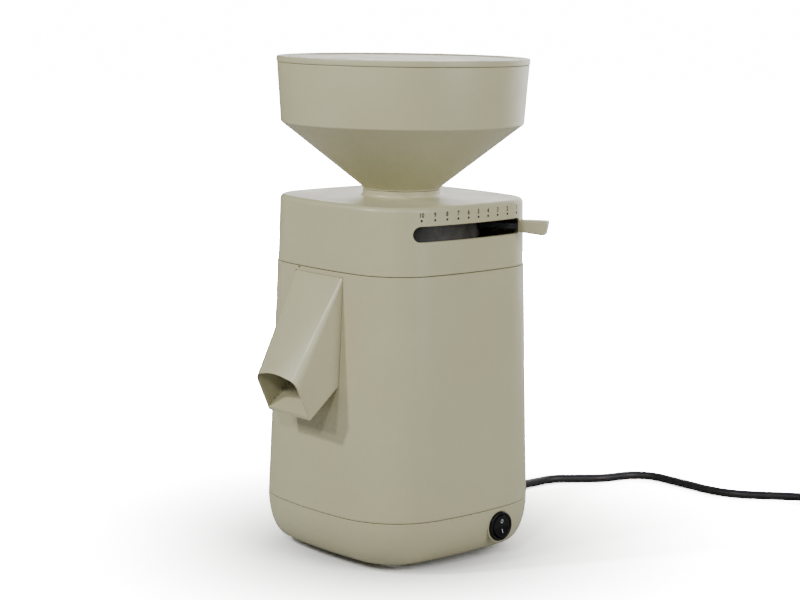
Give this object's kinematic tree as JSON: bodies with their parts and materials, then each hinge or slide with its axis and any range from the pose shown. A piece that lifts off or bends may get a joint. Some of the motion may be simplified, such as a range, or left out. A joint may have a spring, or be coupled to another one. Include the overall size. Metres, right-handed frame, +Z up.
{
  "type": "electric grain mill",
  "caption": "Free-standing electric stone mill for grain, with a round hopper and lid, a flour spout, a fineness lever in a slot and a rocker switch.",
  "frame": {"origin": "on the mill axis, on the surface that the feet stand on", "axes": "+Z up along the mill axis, -Y towards the flour spout, +X towards the lever and the switch"},
  "size_m": [0.3583, 0.5784, 0.3698],
  "materials": {
    "shell_plastic": "satin injection-moulded plastic in warm beige",
    "black_plastic": "black moulded plastic",
    "black_rubber": "black rubber",
    "pale_rubber": "milky silicone rubber",
    "zinc_steel": "zinc-plated steel",
    "dark_steel": "black-coated flat steel",
    "die_cast_aluminium": "die-cast aluminium",
    "white_plastic": "white moulded plastic",
    "millstone_ceramic": "rough corundum ceramic",
    "copper_wire": "enamelled copper wire",
    "ground_steel": "ground bearing steel",
    "core_steel": "varnished laminated steel",
    "wire_insulation": "coloured wire insulation",
    "contact_brass": "bare brass",
    "cord_sheath": "black flexible sheath",
    "woven_tape": "black woven hook-and-loop tape",
    "nickel_pins": "nickel-plated brass"
  },
  "bodies": {
    "housing": {"head_cover": "shell_plastic", "body_shell": "shell_plastic", "base_shell": "shell_plastic", "bottom_plate": "black_plastic", "plate_screws": "zinc_steel", "feet": "pale_rubber", "base_screws": "zinc_steel", "head_screws": "zinc_steel", "flour_spout": "shell_plastic", "milling_chamber": "die_cast_aluminium", "chamber_screws": "zinc_steel", "shaft_seal": "black_rubber", "stator_core": "core_steel", "upper_winding": "copper_wire", "lower_winding": "copper_wire", "upper_bearing": "ground_steel", "lower_bearing": "ground_steel", "upper_end_bell": "die_cast_aluminium", "lower_end_bell": "die_cast_aluminium", "motor_bolts": "zinc_steel", "rubber_mounts": "black_rubber", "mount_screws": "zinc_steel", "capacitor": "white_plastic", "capacitor_clip": "black_plastic", "thermal_protector": "white_plastic", "terminal_block": "white_plastic", "lead_wires": "wire_insulation", "switch_housing": "black_plastic", "switch_terminals": "contact_brass", "cord_relief": "black_rubber", "power_cord": "cord_sheath", "cord_coil": "cord_sheath", "cord_tail": "cord_sheath", "cord_tie": "woven_tape", "plug_body": "black_rubber", "plug_pins": "nickel_pins"},
    "hopper": {"hopper": "shell_plastic"},
    "lid": {"hopper_lid": "shell_plastic"},
    "lever": {"adjusting_ring": "black_plastic", "lever_arm": "dark_steel", "lever_grip": "shell_plastic", "lever_screw": "zinc_steel", "ring_seal": "black_rubber"},
    "upper_stone": {"upper_stone_carrier": "white_plastic", "upper_millstone": "millstone_ceramic"},
    "spindle": {"motor_shaft": "ground_steel", "rotor": "core_steel", "cooling_fan": "black_plastic", "fan_clip": "zinc_steel", "lower_stone_carrier": "die_cast_aluminium", "lower_millstone": "millstone_ceramic", "stone_washer": "zinc_steel", "stone_nut": "zinc_steel"},
    "rocker": {"switch_rocker": "black_plastic"}
  },
  "joints": [
    {"name": "hopper_lift", "type": "slide", "parent": "housing", "child": "hopper", "axis": [0, 0, 1], "range_m": [0, 0.12]},
    {"name": "lid_lift", "type": "slide", "parent": "hopper", "child": "lid", "axis": [0, 0, 1], "range_m": [0, 0.1]},
    {"name": "lever_swing", "type": "hinge", "parent": "housing", "child": "lever", "pos_m": [0, 0, 0.2477], "axis": [0, 0, 1], "range_deg": [-64.8, 0]},
    {"name": "stone_travel", "type": "slide", "parent": "housing", "child": "upper_stone", "axis": [0, 0, 1], "range_m": [0, 0.00036]},
    {"name": "motor_spin", "type": "hinge", "parent": "housing", "child": "spindle", "pos_m": [0, 0, 0.12], "axis": [0, 0, 1], "continuous": true},
    {"name": "rocker_tilt", "type": "hinge", "parent": "housing", "child": "rocker", "pos_m": [0.0853, 0.026, 0.0255], "axis": [0, 1, 0], "range_deg": [0, 10]}
  ],
  "couplings": [
    {"joint": "stone_travel", "follows": "lever_swing", "m_per_rad": -0.000318}
  ]
}
